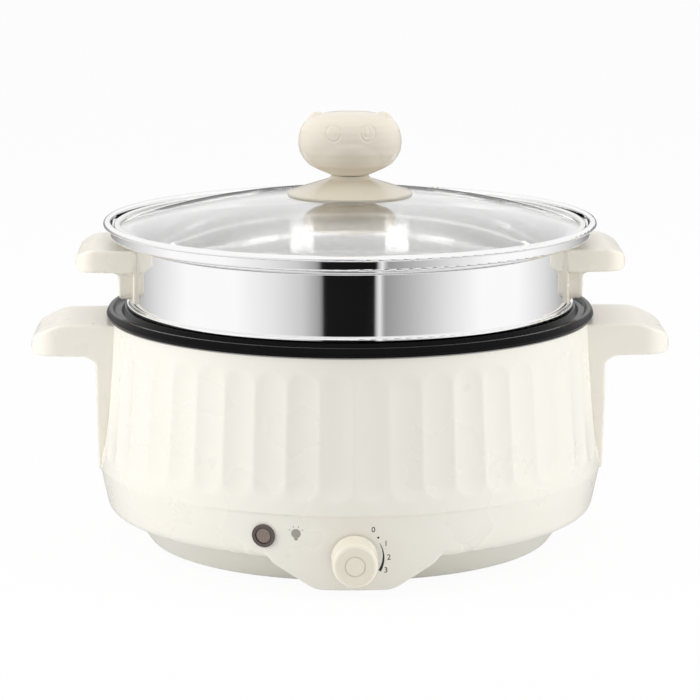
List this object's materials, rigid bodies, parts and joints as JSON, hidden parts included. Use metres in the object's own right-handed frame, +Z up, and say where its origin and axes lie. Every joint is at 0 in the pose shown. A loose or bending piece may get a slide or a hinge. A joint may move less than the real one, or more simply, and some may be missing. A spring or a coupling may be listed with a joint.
{
  "type": "electric hot pot",
  "caption": "Electric hot pot: fluted round casing with a fixed non-stick pan, front dial, lift-out steel steamer ring with ear handles, and a lift-off domed glass lid with a knob.",
  "frame": {"origin": "on the pot's axis, on the plane that the feet stand on", "axes": "+Z up along the pot's axis, -Y towards the control dial, +X towards the right handle seen from the front"},
  "size_m": [0.3644, 0.3195, 0.2492],
  "materials": {
    "cream_plastic": "satin cream",
    "cream_handles": "satin cream",
    "cream_steamer_handles": "satin cream, heat resistant",
    "lid_knob_plastic": "satin beige",
    "dial_plastic": "satin cream",
    "base_plastic": "satin pale grey",
    "polished_steel": "mirror polished",
    "bright_band_steel": "polished",
    "non_stick": "black non-stick coating",
    "lid_glass": "clear tempered",
    "cast_aluminium": "as cast",
    "zinc_steel": "zinc plated",
    "shield_steel": "galvanised sheet",
    "soft_rubber": "matte black",
    "silicone": "matte grey",
    "terminal_brass": "bright",
    "wire_insulation": "matte",
    "black_plastic": "matte black",
    "brown_plastic": "phenolic",
    "lamp_bezel": "dark smoke",
    "lamp_lens": "ribbed, tinted",
    "neon_glass": "clear"
  },
  "bodies": {
    "base": {"outer_casing": "cream_plastic", "base_cover": "base_plastic", "rubber_feet": "soft_rubber", "base_screws": "zinc_steel", "pan_screws": "zinc_steel", "pan_studs": "zinc_steel", "spacer_sleeves": "zinc_steel", "shield_clips": "zinc_steel", "inner_pan": "non_stick", "pan_gasket": "silicone", "heating_plate": "cast_aluminium", "heating_element": "shield_steel", "heater_terminals": "terminal_brass", "heat_shield": "shield_steel", "thermal_fuse": "brown_plastic", "fuse_clip": "zinc_steel", "thermostat_body": "brown_plastic", "thermostat_bracket": "zinc_steel", "bush_nut": "terminal_brass", "sensor_bulb": "terminal_brass", "capillary_tube": "terminal_brass", "indicator_bezel": "lamp_bezel", "indicator_lens": "lamp_lens", "neon_lamp": "neon_glass", "inlet_hood": "cream_plastic", "power_inlet": "black_plastic", "inlet_pins": "terminal_brass", "terminal_block": "brown_plastic", "inlet_wires": "wire_insulation", "heater_wires": "wire_insulation", "control_wires": "wire_insulation", "right_handle": "cream_handles", "left_handle": "cream_handles", "handle_screws": "zinc_steel"},
    "dial": {"control_knob": "dial_plastic", "thermostat_shaft": "zinc_steel"},
    "steamer": {"steamer_pan": "polished_steel", "steamer_right_handle": "cream_steamer_handles", "steamer_left_handle": "cream_steamer_handles", "steamer_handle_brackets": "bright_band_steel", "steamer_handle_screws": "zinc_steel"},
    "lid": {"lid_glass": "lid_glass", "lid_rim": "bright_band_steel", "lid_knob_flange": "lid_knob_plastic", "lid_knob_head": "lid_knob_plastic", "lid_knob_washer": "silicone", "lid_knob_screw": "zinc_steel", "lid_vent_eyelet": "zinc_steel"}
  },
  "joints": [
    {"name": "steamer_lift", "type": "slide", "parent": "base", "child": "steamer", "axis": [0, 0, 1], "range_m": [0, 0.06]},
    {"name": "lid_lift", "type": "slide", "parent": "steamer", "child": "lid", "axis": [0, 0, 1], "range_m": [0, 0.08]},
    {"name": "dial_turn", "type": "hinge", "parent": "base", "child": "dial", "pos_m": [0, -0.13, 0.0233], "axis": [0, 1, 0], "range_deg": [0, 90]}
  ]
}
